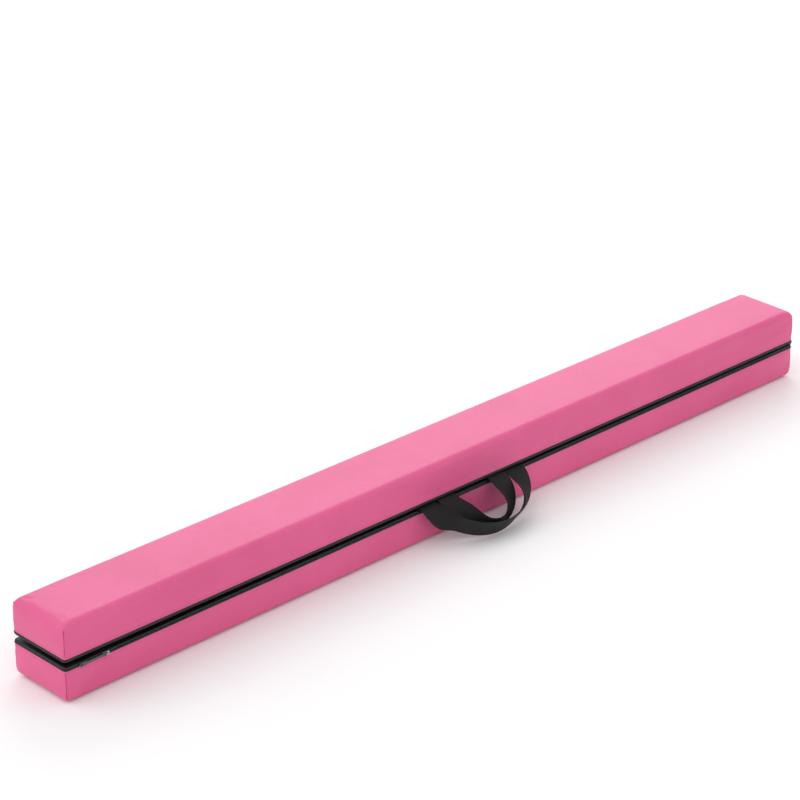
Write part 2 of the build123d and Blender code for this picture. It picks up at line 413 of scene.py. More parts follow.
def webbingMaterial(name, weave):
    # plain weave: height = the greater of |sin(ribs + yarns)| and |sin(ribs - yarns)|
    mat, tree, shader = newMaterial(name, weave["colour"], weave["roughness"], specular=weave["specular"],
                                    sheen=weave["sheen"])
    ribs, yarns = uvAxis(tree, math.pi / weave["rib"], math.pi / weave["yarn"])
    over = maths(tree, "ABSOLUTE", maths(tree, "SINE", maths(tree, "ADD", ribs, yarns)))
    under = maths(tree, "ABSOLUTE", maths(tree, "SINE", maths(tree, "SUBTRACT", ribs, yarns)))
    height = maths(tree, "MAXIMUM", over, under)
    place = objectPlace(tree)
    fuzz = noise(tree, place, 5200, 2)
    patch = noise(tree, place, 55, 3)
    dark = tuple(c * weave["shade"] for c in weave["colour"])
    woven = ramp(tree, height, [(0.25, dark), (0.95, weave["colour"])])
    faded = tuple(min(1, c * 1.35 + 0.002) for c in weave["colour"])
    wearAndEdgeHighlight = mixColours(tree, maths(tree, "MULTIPLY", patch, 0.45), woven, faded)
    tree.links.new(wearAndEdgeHighlight, shader.inputs["Base Color"])
    bump(tree, shader, [(height, 0.9, weave["depth"]), (fuzz, 0.25, 0.0001)])
    return mat


coverLook = {"colour": (0.70, 0.085, 0.245), "nap": (0.77, 0.105, 0.285), "roughness": 0.5, "sheen": 0.12,
             "grain": 1700, "pore": 5200}


def coverMaterial():
    # suede-like fabric: a fine grain, a nap that lies two ways in soft patches, and convex edges painted
    # paler as a painted highlight
    mat, tree, shader = newMaterial("coverFabric", coverLook["colour"], coverLook["roughness"], specular=0.5,
                                    sheen=coverLook["sheen"])
    shader.inputs["Sheen Roughness"].default_value = 0.45
    shader.inputs["Sheen Tint"].default_value = (1.0, 0.85, 0.92, 1)
    place = objectPlace(tree)
    patches = noise(tree, place, 9, 5, 0.6)
    streaks = noise(tree, place, 160, 3)
    grain = noise(tree, place, coverLook["grain"], 3)
    pores = noise(tree, place, coverLook["pore"], 2)
    nap = mixColours(tree, ramp(tree, patches, [(0.35, (0, 0, 0)), (0.68, (1, 1, 1))]),
                     coverLook["colour"], coverLook["nap"])
    speck = tuple(c * 0.88 for c in coverLook["colour"])
    specks = ramp(tree, grain, [(0.4, (1, 1, 1)), (0.6, (0, 0, 0))])
    cloth = mixColours(tree, maths(tree, "MULTIPLY", specks, 0.45), nap, speck)
    # painted highlight: convex edges mixed towards a paler pink where the rounded edges catch the light
    wearAndEdgeHighlight = addNode(tree, "ShaderNodeNewGeometry")
    paintedEdgeHighlight = ramp(tree, wearAndEdgeHighlight.outputs["Pointiness"], [(0.52, (0, 0, 0)), (0.60, (1, 1, 1))])
    cloth = mixColours(tree, maths(tree, "MULTIPLY", paintedEdgeHighlight, 0.25), cloth, (0.84, 0.20, 0.38))
    tree.links.new(cloth, shader.inputs["Base Color"])
    rough = maths(tree, "ADD", maths(tree, "MULTIPLY", streaks, 0.16), coverLook["roughness"] - 0.08)
    tree.links.new(rough, shader.inputs["Roughness"])
    bump(tree, shader, [(grain, 0.22, 0.0003), (pores, 0.25, 0.0001), (streaks, 0.06, 0.0006)])
    return mat


baseLook = {"colour": (0.006, 0.006, 0.0065), "wearAndEdgeHighlight": (0.022, 0.022, 0.023), "roughness": 0.5}


def baseMaterial(name="nonslipBase", roughness=0.5):
    # moulded non-slip sheet: black, with a fine cast grain and dusty, scuffed patches
    mat, tree, shader = newMaterial(name, baseLook["colour"], roughness, specular=0.45)
    place = objectPlace(tree)
    dust = ramp(tree, noise(tree, place, 34, 6, 0.65), [(0.42, (0, 0, 0)), (0.78, (1, 1, 1))])
    grain = noise(tree, place, 2600, 3)
    colour = mixColours(tree, maths(tree, "MULTIPLY", dust, 0.55), baseLook["colour"], baseLook["wearAndEdgeHighlight"])
    tree.links.new(colour, shader.inputs["Base Color"])
    rough = maths(tree, "ADD", maths(tree, "MULTIPLY", dust, 0.22), roughness - 0.06)
    tree.links.new(rough, shader.inputs["Roughness"])
    bump(tree, shader, [(grain, 0.35, 0.0002)])
    return mat


def threadMaterial(name, colour):
    # spun thread: twisted strands as slanting ridges
    mat, tree, shader = newMaterial(name, colour, 0.6, specular=0.3, sheen=0.1)
    place = objectPlace(tree)
    strands = addNode(tree, "ShaderNodeTexWave", Scale=900, Distortion=1.5)
    strands.bands_direction = "DIAGONAL"
    tree.links.new(place, strands.inputs["Vector"])
    shade = tuple(c * 0.6 for c in colour)
    spun = ramp(tree, strands.outputs["Fac"], [(0.2, shade), (0.8, colour)])
    tree.links.new(spun, shader.inputs["Base Color"])
    bump(tree, shader, [(strands.outputs["Fac"], 0.4, 0.0001)])
    return mat


def foamMaterial():
    # closed-cell foam: rounded cells with thin walls
    mat, tree, shader = newMaterial("foam", (0.78, 0.77, 0.74), 0.85, specular=0.2)
    place = objectPlace(tree)
    cells = addNode(tree, "ShaderNodeTexVoronoi", Scale=900)
    tree.links.new(place, cells.inputs["Vector"])
    colour = ramp(tree, cells.outputs["Distance"], [(0.1, (0.80, 0.79, 0.76)), (0.8, (0.62, 0.61, 0.58))])
    tree.links.new(colour, shader.inputs["Base Color"])
    bump(tree, shader, [(cells.outputs["Distance"], 0.5, 0.0004)])
    return mat


def metalMaterial(name="zipMetal", light=(0.44, 0.44, 0.46), dark=(0.20, 0.19, 0.19)):
    # nickel plate over a die casting: brushed along the zip, dulled and speckled where it is rubbed
    mat, tree, shader = newMaterial(name, light, 0.34, metallic=1.0)
    place = objectPlace(tree)
    stretch = addNode(tree, "ShaderNodeMapping")
    stretch.inputs["Scale"].default_value = (120, 2600, 2600)
    tree.links.new(place, stretch.inputs["Vector"])
    brush = noise(tree, stretch.outputs["Vector"], 1, 3)
    spots = noise(tree, place, 700, 5, 0.7)
    colour = mixColours(tree, ramp(tree, spots, [(0.5, (0, 0, 0)), (0.75, (1, 1, 1))]), light, dark)
    tree.links.new(colour, shader.inputs["Base Color"])
    tree.links.new(maths(tree, "ADD", maths(tree, "MULTIPLY", spots, 0.35), 0.14), shader.inputs["Roughness"])
    bump(tree, shader, [(brush, 0.25, 0.0001)])
    return mat


def nylonMaterial():
    mat, tree, shader = newMaterial("zipCoil", (0.03, 0.03, 0.033), 0.35, specular=0.5)
    place = objectPlace(tree)
    haze = noise(tree, place, 1800, 3)
    tree.links.new(ramp(tree, haze, [(0.35, (0.022, 0.022, 0.025)), (0.7, (0.06, 0.06, 0.065))]),
                   shader.inputs["Base Color"])
    bump(tree, shader, [(haze, 0.2, 0.0001)])
    return mat


weaves = {"strap": {"colour": (0.012, 0.012, 0.013), "roughness": 0.62, "specular": 0.25, "sheen": 0.0,
                    "rib": 0.0022, "yarn": 0.0026, "depth": 0.0007, "shade": 0.35},
          "hinge": {"colour": (0.56, 0.54, 0.56), "roughness": 0.7, "specular": 0.3, "sheen": 0.2,
                    "rib": 0.0016, "yarn": 0.0016, "depth": 0.0004, "shade": 0.6},
          "tape": {"colour": (0.018, 0.018, 0.02), "roughness": 0.7, "specular": 0.3, "sheen": 0.2,
                   "rib": 0.0008, "yarn": 0.0008, "depth": 0.0002, "shade": 0.5},
          "binding": {"colour": (0.016, 0.016, 0.018), "roughness": 0.6, "specular": 0.35, "sheen": 0.15,
                      "rib": 0.0009, "yarn": 0.0009, "depth": 0.0002, "shade": 0.5}}

coverFabric = coverMaterial()
nonslipBase = baseMaterial()
pipRubber = baseMaterial("nonslipPips", 0.34)
strapWebbing = webbingMaterial("strapWebbing", weaves["strap"])
hingeWebbing = webbingMaterial("hingeWebbing", weaves["hinge"])
tapeWeave = webbingMaterial("zipTapeWeave", weaves["tape"])
bindingTape = webbingMaterial("bindingTape", weaves["binding"])
pinkThread = threadMaterial("pinkThread", (0.62, 0.10, 0.24))
# the corner seam thread's dark pink is partly painted shade of the corner groove
cornerThreadWithPaintedShade = threadMaterial("seamThreadWithPaintedShade", (0.40, 0.045, 0.135))
blackThread = threadMaterial("blackThread", (0.035, 0.035, 0.038))
whiteThread = threadMaterial("paleThread", (0.62, 0.60, 0.61))
foamCells = foamMaterial()
zipMetal = metalMaterial()
pullMetal = metalMaterial("pullMetal", (0.13, 0.13, 0.14), (0.05, 0.048, 0.05))
zipNylon = nylonMaterial()
print("materials made")


# covers

slit = 0.003  # half width of the last ring on a wide face, which bridge() closes
cover = {"topEdge": 0.009, "sideCorner": 0.0024, "hemCorner": 0.0048, "topCorner": 0.007,
         "start": 0.0005, "pressure": 4.0, "frames": 20, "bulge": 0.0012, "hingeBulge": 0.0005,
         "seamDepth": 0.0009, "seamWidth": 0.0011, "seamArc": 0.0042, "thread": (0.0005, 0.0004),
         "hemPitch": 0.0034, "hemStitch": 0.0026, "hemThread": 0.0007,
         "seamStart": 0.0065, "pucker": 0.00022, "puckerPitch": 0.0105}


def coverProfile():
    # the wall from the inner lining up round the hem, down the wall, round the soft edge and in to the middle
    c = cover
    lining = [(0.012, 0.0022), (0.0022, 0.012), (0.0022, 0.030), (0.0014, hemZ - 0.0010)]
    wallZ = np.concatenate([[hemZ - 0.0001, hemZ - 0.0012], np.linspace(hemZ - 0.0036, c["topEdge"], 9)])
    turn = np.linspace(0, math.pi / 2, 8)[1:]
    arc = np.stack([c["topEdge"] * (1 - np.cos(turn)), c["topEdge"] * (1 - np.sin(turn))], -1)
    inner = np.stack([np.linspace(c["topEdge"], sideY - slit, 9)[1:], np.zeros(8)], -1)
    wall = np.stack([np.zeros(len(wallZ)), wallZ], -1)
    rows = np.vstack([[[sideY - slit, 0.0022]], lining, wall, arc, inner])
    return rows, 1 + len(lining)


def coverCorner(inset, z):
    # corner radius: fuller at the hem and at the soft top edge than down the wall
    c = cover
    hem = smoothStep((z - (hemZ - 0.014)) / 0.014)
    top = smoothStep((0.016 - z) / 0.014)
    radius = (c["sideCorner"] + hem * (c["hemCorner"] - c["sideCorner"])
              + top * (c["topCorner"] - c["sideCorner"]))
    return np.clip(radius - 0.6 * np.clip(inset - c["topEdge"], 0, None), 0.0008, sideY - inset - 0.0005)


def bridge(ring, first, flip):
    # quads across the last ring, which is a narrow slot: point i on one side to its mirror on the other
    count = len(ring)
    mirrored = np.array([int(np.argmin(np.abs(ring[:, 0] - ring[i, 0]) + np.abs(ring[:, 1] + ring[i, 1])))
                         for i in range(count)])
    faces = []
    for i in range(count):
        j = (i + 1) % count
        quad = (i, j, mirrored[j], mirrored[i])
        if ring[i, 1] > 0 and ring[j, 1] > 0 and len(set(quad)) == 4:
            faces.append([first + k for k in (quad[::-1] if flip else quad)])
    return faces


def settleCloth(piece, pinned):
    # inflate the fabric with Blender's cloth, its hem and seams held, and give back the settled points
    group = piece.vertex_groups.new(name="held")
    group.add(np.flatnonzero(pinned > 0.99).tolist(), 1.0, "REPLACE")
    cloth = piece.modifiers.new("Cloth", "CLOTH")
    settings = cloth.settings
    settings.vertex_group_mass = "held"
    settings.use_pressure = True
    settings.uniform_pressure_force = cover["pressure"]
    settings.effector_weights.gravity = 0
    settings.quality = 5
    settings.tension_stiffness = settings.compression_stiffness = 40
    settings.bending_stiffness = 2
    settings.mass = 0.4
    cloth.point_cache.frame_start, cloth.point_cache.frame_end = 1, cover["frames"]
    scene = bpy.context.scene
    for step in range(1, cover["frames"] + 1):
        scene.frame_set(step)
        bpy.context.view_layer.update()
    settled = piece.evaluated_get(bpy.context.evaluated_depsgraph_get())
    points = np.empty(len(piece.data.vertices) * 3)
    settled.data.vertices.foreach_get("co", points)
    piece.modifiers.remove(cloth)
    piece.vertex_groups.clear()
    scene.frame_set(1)
    return points.reshape(-1, 3)


def makeCover(half):
    rows, outer = coverProfile()
    pattern = ringPattern(0.0012, 0.0085, 10)
    inset, z = rows[:, 0], rows[:, 1]
    radius = coverCorner(inset, z)
    radius[:outer] = np.where(inset[:outer] > 0.01, 0.0008, 0.0012)
    points = ringPoints(pattern, inset, radius, z)
    normals = ringNormals(pattern)
    count = points.shape[1]
    # the outer rows start a little small, and the fabric swells back to size
    wall = smoothStep((z - 0.001) / 0.004) * (np.arange(len(z)) > outer + 1)
    edge = smoothStep((hemZ - z) / 0.006)
    small = points - (cover["start"] * wall * edge)[:, None, None] * normals
    faces = gridFaces(len(rows), count, False, True)
    uv = gridUV(runLengths(rows),
                runLengths(closed(points[outer + 3])))
    faceList = faces.tolist()
    capFaces = bridge(points[-1], (len(rows) - 1) * count, False) + bridge(points[0], 0, True)
    faceList += capFaces
    uv = np.concatenate([uv.reshape(-1, 2), np.zeros((4 * len(capFaces), 2))])
    piece = addPiece(f"{half}_cover_fabric", toRow(half, small.reshape(-1, 3)), faceList, coverFabric, uv,
                     outward=True)
    held = np.zeros(points.shape[:2])
    held[:outer + 2] = 1
    # seam points: the middle of each corner's arc, below the soft edge
    angle, share = pattern[0], pattern[1]
    seamGap = np.minimum.reduce([np.where((share == 0), np.abs(angle - (k + 0.5) * math.pi / 2), 9)
                                 for k in range(4)])
    onSeam = seamGap < 0.02
    held[np.ix_(z > cover["seamStart"], onSeam)] = 1
    moved = settleCloth(piece, held.ravel()).reshape(-1, 3)
    # back to the half's own axes, then cap how far a point may stand off its place
    axes = halfAxes[half]
    origin = toRow(half, np.zeros(3))
    local = ((moved - origin) @ axes.T).reshape(points.shape)
    push = local - points
    reach = np.linalg.norm(push, axis=-1, keepdims=True)
    # the end walls at the hinge nearly meet when the beam is open, so they stand off less
    atHinge = points[..., :1] > endX - cover["topEdge"]
    most = np.where(atHinge, cover["hingeBulge"], cover["bulge"])
    settled = points + push * np.minimum(1, most / np.maximum(reach, 1e-9))
    settled[:outer + 1] = points[:outer + 1]
    # sewn corners: a sharp valley down the seam, and the fabric beside it drawn into small puckers
    beside = np.where(share == 0, seamGap * cover["seamArc"], 9)
    wallRing = np.abs(points[outer + 4])
    nearCorner = np.hypot(wallRing[:, 0] - endX, wallRing[:, 1] - sideY)
    down = smoothStep((z - cover["seamStart"]) / 0.003)
    valley = cover["seamDepth"] * np.exp(-(np.minimum(beside, 0.05) / cover["seamWidth"]) ** 2)
    wave = np.sin(2 * math.pi * z / cover["puckerPitch"] + (0.6 if half == "lower" else 2.1)
                  + 1.3 * np.sin(z * 310))[:, None]
    around = np.exp(-(nearCorner / 0.011) ** 2) * (1 - np.exp(-(nearCorner / 0.002) ** 2))
    pucker = cover["pucker"] * wave * around
    outside = (np.arange(len(z)) > outer + 1)[:, None]
    settled = settled - (outside * down[:, None] * (valley[None] - pucker))[..., None] * normals
    settled[..., 2] = np.maximum(settled[..., 2], 0.0)
    row = toRow(half, settled.reshape(-1, 3))
    piece.data.vertices.foreach_set("co", row.ravel())
    piece.data.update()
    finish = piece.modifiers.new("Finish", "SUBSURF")
    finish.levels = finish.render_levels = 1
    finish.boundary_smooth = "PRESERVE_CORNERS"
    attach(piece, f"{half}_half")
    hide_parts(f"{half}_cover")

    # the thread line at the bottom of each corner's valley: real thread, with its dark pink partly painted
    # shade of the groove
    lines = []
    below = np.flatnonzero((z > cover["seamStart"]) & (np.arange(len(z)) > outer + 1))
    for k, column in enumerate(np.flatnonzero(onSeam)):
        path = settled[below, column]
        order = np.argsort(path[:, 2])
        out = normals[column]
        steps = np.linspace(path[0, 2], path[-1, 2], 120)
        centre = np.stack([np.interp(steps, path[order, 2], path[order, i]) for i in range(2)] + [steps], -1)
        centre = centre + out * 0.0001 * np.sin(steps * 2 * math.pi / 0.003)[:, None]
        lines.append(bandPiece(f"{half}_seam{k}", toRow(half, centre),
                               facing(half, np.cross(out, [0, 0, 1]), centre), facing(half, out, centre),
                               roundSection(*cover["thread"], 8), cornerThreadWithPaintedShade))
    seams = joinPieces(lines, f"{half}_corner_seam_lines")
    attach(seams, f"{half}_half")
    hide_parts(f"{half}_corner_seams")

    # topstitch along the hem
    ring = settled[outer + 2]
    path = closed(ring)
    stitches = stitchRow(f"{half}_hem_stitches", toRow(half, path),
                         turnRow(half, closed(normals)), cover["hemPitch"],
                         cover["hemStitch"], cover["hemThread"], pinkThread)
    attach(stitches, f"{half}_half")


for half in ("lower", "upper"):
    makeCover(half)
    print("cover made:", half)


# non-slip base panels, with their pips and the binding beside them

base = {"rolled": 0.0024, "corner": 0.005, "sheet": 0.0012, "slotFrom": -0.625, "slotTo": 0.615,
        "slotTop": 0.0496, "pitch": 0.0052, "pip": 0.0010, "pipHeight": 0.0005, "pipSunk": 0.00005,
        "scatter": 0.00003, "edgePitch": 0.0052, "edgeRows": ((18, 0.0), (62, 0.5)), "tail": 0.032}


def edgePlaces(at, tilt, out, along, wall):
    # places round the rolled edge: radius * cos(tilt) out from its centre line and radius * sin(tilt) up
    r, a = base["rolled"], math.radians(tilt)
    normal = out * math.cos(a) + np.array([0, 0, math.sin(a)])
    place = at[:, None] * along + out * (wall - r + r * math.cos(a))
    place = place + np.array([0, 0, faceZ - r + r * math.sin(a)])
    return (place, np.broadcast_to(along, place.shape),
            np.broadcast_to(np.cross(normal, along), place.shape))


def makeBase(half):
    b = base
    turn = np.sort(np.concatenate([np.linspace(0, math.pi / 2, 9),
                                   [math.asin((b["slotTop"] - (faceZ - b["rolled"])) / b["rolled"])]]))
    arc = np.stack([b["rolled"] * (1 - np.cos(turn)), faceZ - b["rolled"] * (1 - np.sin(turn))], -1)
    inner = np.stack([np.linspace(b["rolled"], sideY - slit, 8)[1:], np.full(7, faceZ)], -1)
    rows = np.vstack([[[0, rimZ]], arc, inner])
    radius = np.maximum(b["corner"] - rows[:, 0], 0.0008)
    angle, share, signA, signB = ringPattern(0.0012, 0.010, 8)
    # points exactly at both ends of the zip slot, on the zipped side
    straight = 2 * (endX - b["corner"])
    ends = (np.array([b["slotFrom"], b["slotTo"]]) + endX - b["corner"]) / straight
    zipped = (signA[:, 0] < 0) & (signA[:, 1] < 0) & (share > 0)
    for end in ends:
        nearest = np.flatnonzero(zipped)[np.argmin(np.abs(share[zipped] - end))]
        share[nearest] = end
    pattern = (angle, share, signA, signB)
    points = ringPoints(pattern, rows[:, 0], radius, rows[:, 1])
    count = points.shape[1]
    faces = gridFaces(len(rows), count, False, True)
    uv = gridUV(runLengths(rows), runLengths(closed(points[0])))
    flat = points.reshape(-1, 3)
    middle = flat[faces].mean(1)
    slot = ((middle[:, 0] > b["slotFrom"]) & (middle[:, 0] < b["slotTo"]) & (middle[:, 1] < -0.04)
            & (middle[:, 2] < b["slotTop"]))
    keep = ~slot
    caps = bridge(points[-1], (len(rows) - 1) * count, False)
    piece = addPiece(f"{half}_base_skin", toRow(half, flat), faces[keep].tolist() + caps, nonslipBase,
                     np.concatenate([uv[keep].reshape(-1, 2), np.zeros((4 * len(caps), 2))]), outward=True)
    # the skin as a whole faces away from the foam, so that its thickness grows towards it
    polygons = piece.data.polygons
    areas, ways = np.empty(len(polygons)), np.empty(3 * len(polygons))
    polygons.foreach_get("area", areas)
    polygons.foreach_get("normal", ways)
    if areas @ ways.reshape(-1, 3) @ turnRow(half, [0, 0, 1.0]) < 0:
        piece.data.flip_normals()
    thick = piece.modifiers.new("Thickness", "SOLIDIFY")
    thick.thickness, thick.offset = b["sheet"], -1
    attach(piece, f"{half}_half")
    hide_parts(f"{half}_base_panel")

    # pips: low domes in staggered rows over the face, and two rows on the rolled edge
    steps = np.arange(7) / 7 * 2 * math.pi
    rim = np.stack([np.cos(steps), np.sin(steps), np.zeros(7)], -1)
    dome = np.vstack([b["pip"] * rim - [0, 0, b["pipSunk"]],
                      0.66 * b["pip"] * rim + [0, 0, 0.8 * b["pipHeight"]], [[0, 0, b["pipHeight"]]]])
    side = [[k, (k + 1) % 7, 7 + (k + 1) % 7, 7 + k] for k in range(7)]
    crown = [[7 + k, 7 + (k + 1) % 7, 14] for k in range(7)]
    rowsY = np.arange(-8, 9) * b["pitch"] * math.sqrt(3) / 2
    colsX = np.arange(-128, 129) * b["pitch"]
    x, y = np.meshgrid(colsX, rowsY, indexing="ij")
    x = x + np.where(np.arange(len(rowsY)) % 2 == 1, b["pitch"] / 2, 0)[None]
    x, y = x.ravel(), y.ravel()
    leafLow, leafHigh = halfBox(half, f"{half}_hinge_leaf")
    tailLow, tailHigh = halfBox(half, f"{half}_handle_tails")
    middleX, halfSpan = (tailLow[0] + tailHigh[0]) / 2, (tailHigh[0] - tailLow[0]) / 2

    def underTail(at):
        # whether each place along the half is under one of the loop's two tails
        off = np.abs(at - middleX)
        return (off < halfSpan + b["pip"]) & (off > halfSpan - b["tail"] - b["pip"])

    clear = np.abs(x) < endX - b["rolled"] - 0.0015
    clear &= ~((x > leafLow[0] - b["pip"]) & (np.abs(y) < leafHigh[1] + b["pip"]))
    clear &= ~((y > tailLow[1] - b["pip"]) & (y < tailHigh[1] + b["pip"]) & underTail(x))
    centres = np.stack([x, y, np.full(len(x), faceZ)], -1)[clear]
    centres = centres + rng.normal(0, b["scatter"], centres.shape) * [1, 1, 0]
    acrossX, acrossY = np.array([1.0, 0, 0]), np.array([0, 1.0, 0])
    edgeParts = [(centres, np.broadcast_to(acrossX, centres.shape), np.broadcast_to(acrossY, centres.shape))]
    # rows on the rolled edge of both long sides, clear of the zip and the tails, and of the open end
    for sign in (-1, 1):
        for tilt, shift in b["edgeRows"]:
            at = np.arange(-126, 127) * b["edgePitch"] + shift * b["edgePitch"]
            at = at[np.abs(at) < endX - 0.006]
            if sign < 0 and tilt < 40:
                at = at[(at < b["slotFrom"] - 0.001) | (at > b["slotTo"] + 0.001)]
            if sign == handleSide[half] and tilt > 40:
                at = at[~underTail(at)]
            edgeParts.append(edgePlaces(at, tilt, sign * acrossY, acrossX, sideY))
    for tilt, shift in b["edgeRows"]:
        at = np.arange(-8, 9) * b["edgePitch"] + shift * b["edgePitch"]
        edgeParts.append(edgePlaces(at[np.abs(at) < sideY - 0.006], tilt, -acrossX, acrossY, endX))
    place, xd, yd = (np.vstack([part[k] for part in edgeParts]) for k in range(3))
    pips = scatter(f"{half}_base_pips", dome, side + crown, toRow(half, place), turnRow(half, xd),
                        turnRow(half, yd), pipRubber)
    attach(pips, f"{half}_half")


def halfBox(half, node):
    # a CAD node's lowest and highest corners in its half's own coordinates, from its mesh
    mesh = cadNode(node).data
    points = np.empty(len(mesh.vertices) * 3)
    mesh.vertices.foreach_get("co", points)
    local = (points.reshape(-1, 3) - toRow(half, np.zeros(3))) @ halfAxes[half].T
    return local.min(0), local.max(0)


def makeBinding(half):
    # the welt: a flattened bead carried round the half between the hem and the rim
    profile = np.array([(0.0010, 0.0), (0.0002, -0.0001), (-0.0003, 0.0001), (-0.0006, 0.0004),
                        (-0.0007, 0.0006), (-0.0006, 0.0008), (-0.0003, 0.0011), (0.0002, 0.0013),
                        (0.0010, 0.0012)])
    pattern = ringPattern(0.0012, 0.012, 10)
    z = hemZ + profile[:, 1]
    points = ringPoints(pattern, profile[:, 0], base["corner"] - profile[:, 0], z)
    count = points.shape[1]
    faces = gridFaces(len(profile), count, True, True)
    ring = runLengths(closed(points[4]))
    uv = gridUV(runLengths(closed(profile)), ring)[..., ::-1]
    piece = addPiece(f"{half}_binding_welt", toRow(half, points.reshape(-1, 3)), faces.tolist(), bindingTape,
                     uv.reshape(-1, 2), outward=True)
    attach(piece, f"{half}_half")
    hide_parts(f"{half}_base_binding")


for half in ("lower", "upper"):
    makeBase(half)
    makeBinding(half)
    print("base made:", half)


# foam cores

foam = {"edge": 0.0075, "corner": 0.0085}


def makeFoam(half):
    low, high = halfBox(half, f"{half}_foam_core")
    turn = np.linspace(0, math.pi / 2, 6)
    edge = foam["edge"]
    arc = np.stack([edge * (1 - np.cos(turn)), low[2] + edge * (1 - np.sin(turn))], -1)
    narrow = high[1] - slit
    rows = np.vstack([[[narrow, high[2]], [0.0046, high[2]], [0.0044, high[2] - 0.0004], [0.0044, 0.0452],
                       [0.0002, 0.0450]], arc, [[narrow, low[2]]]])
    pattern = ringPattern(0.004, 0.05, 6)
    # corners rounder than the cover's, so that the sewn valleys stay clear of the foam
    radius = np.minimum(foam["corner"], high[1] - rows[:, 0] - 0.0005)
    points = ringPoints(pattern, rows[:, 0] + endX - high[0], radius, rows[:, 1])
    count = points.shape[1]
    faces = gridFaces(len(rows), count, False, True).tolist()
    faces += bridge(points[-1], (len(rows) - 1) * count, False) + bridge(points[0], 0, True)
    piece = addPiece(f"{half}_foam_block", toRow(half, points.reshape(-1, 3)), faces, foamCells, outward=True)
    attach(piece, f"{half}_half")
    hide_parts(f"{half}_foam_core")


# zips

zipChain = {"turn": 0.0015, "wire": 0.00022, "height": 0.00042, "depth": 0.00048, "steps": 9}


def makeZip(half):
    low, high = halfBox(half, f"{half}_zip_coils")
    z = zipChain
    zMiddle = (low[2] + high[2]) / 2
    yMiddle = (low[1] + high[1]) / 2
    rows = []
    for sign in (-1, 1):
        turns = int((high[0] - low[0] - 0.001) / z["turn"])
        t = np.arange(turns * z["steps"]) / z["steps"] * 2 * math.pi
        x = low[0] + 0.0005 + z["turn"] * t / (2 * math.pi) + (0 if sign < 0 else z["turn"] / 2)
        centre = np.stack([x, yMiddle + z["depth"] * np.cos(t),
                           zMiddle + sign * 0.00065 + z["height"] * np.sin(t)], -1)
        outDir = unit(np.stack([np.zeros(len(t)), np.cos(t), np.sin(t)], -1))
        ahead = unit(np.gradient(centre, axis=0))
        sideDir = unit(np.cross(outDir, ahead))
        rows.append(bandPiece(f"{half}_coil{sign}", toRow(half, centre), turnRow(half, sideDir),
                              turnRow(half, outDir), roundSection(z["wire"], z["wire"], 5), zipNylon))
    chain = joinPieces(rows, f"{half}_zip_chain")
    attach(chain, f"{half}_half")
    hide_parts(f"{half}_zip_coils")
    for node, material in (("zip_tapes", tapeWeave), ("zip_stops", zipMetal), ("zip_slider", zipMetal),
                           ("zip_pull", pullMetal)):
        cadNode(f"{half}_{node}").material_slots[0].material = material


for half in ("lower", "upper"):
    makeFoam(half)
    makeZip(half)
print("foam and zips made")


# carrying loops

loop = {"width": 0.032, "thickness": 0.0012, "lift": 0.0012, "out": 0.00485, "tail": 0.030, "hang": 35,
        "sewn": 0.022, "rounding": 0.0035}
# each loop's middle line as Bezier control points, in mm: along the beam, and out from the swing line
loopLines = {"lower": [(-72, 0), (-72, 15), (-40, 96), (86, 97), (88, 10), (88, 0)],
             "upper": [(-39, 0), (-39, 23), (-14, 95), (15, 52), (55, 62), (55, 0)]}
onEdgeAfter = {"lower": (0.21, 0.35), "upper": (0.405, 0.545)}  # share of the run, from each end


def smoothRun(points, sigma, step):
    # even out a run of points: each becomes the bell-weighted mean of those near it
    reach = int(3 * sigma / step)
    weights = np.exp(-0.5 * (np.arange(-reach, reach + 1) * step / sigma) ** 2)
    weights /= weights.sum()
    before = 2 * points[0] - points[reach:0:-1]
    after = 2 * points[-1] - points[-2:-reach - 2:-1]
    padded = np.vstack([before, points, after])
    return np.stack([np.convolve(padded[:, k], weights, "valid") for k in range(points.shape[1])], -1)


def bezier(points, t):
    # sum of each control point times its Bernstein weight
    order = len(points) - 1
    k = np.arange(order + 1)
    choose = np.array([math.comb(order, int(i)) for i in k])
    return (choose * t[:, None] ** k * (1 - t[:, None]) ** (order - k)) @ np.array(points, float)


def loopPath(half):
    # tail, loop that hangs out and down, tail; the top face turns outwards as the strap stands on edge
    side = handleSide[half]
    hang = math.radians(loop["hang"])
    outwards = np.array([0, side, 0.0])
    up = np.array([0, 0, -side])
    out = outwards * math.cos(hang) - up * math.sin(hang)
    lifted = up * math.cos(hang) + outwards * math.sin(hang)
    root = np.array([0, side * (sideY + loop["out"]), faceZ + loop["lift"]])
    step = 0.001
    flat = bezier(loopLines[half], np.linspace(0, 1, 2400)) * mm
    arch = root + flat[:, :1] * [1, 0, 0] + flat[:, 1:] * out
    tail = -outwards * (loop["tail"] + 0.0009)
    line = np.vstack([arch[0] + tail, arch, arch[-1] + tail])
    runs = runLengths(line)
    at = np.arange(0, runs[-1], step)
    centre = pointsAt(line, runs, at)
    share = np.clip((at - runs[1]) / (runs[-2] - runs[1]), 0, 1)
    centre = smoothRun(centre, loop["rounding"], step)
    tangent = unit(np.gradient(centre, axis=0))
    first, last = onEdgeAfter[half]
    twist = math.pi / 2 * np.minimum(smoothStep(share / first), smoothStep((1 - share) / last))
    # the way up turns from the face's own to the loop's along the rounded root
    outness = smoothStep((np.minimum(at, runs[-1] - at) - loop["tail"] + 0.003) / 0.008)[:, None]
    above = unit(up * (1 - outness) + lifted * outness)
    flatDir = unit(np.cross(tangent, above))
    width = flatDir * np.cos(twist)[:, None] - above * np.sin(twist)[:, None]
    width = unit(width - (width * tangent).sum(-1, keepdims=True) * tangent)
    return centre, width, unit(np.cross(width, tangent))


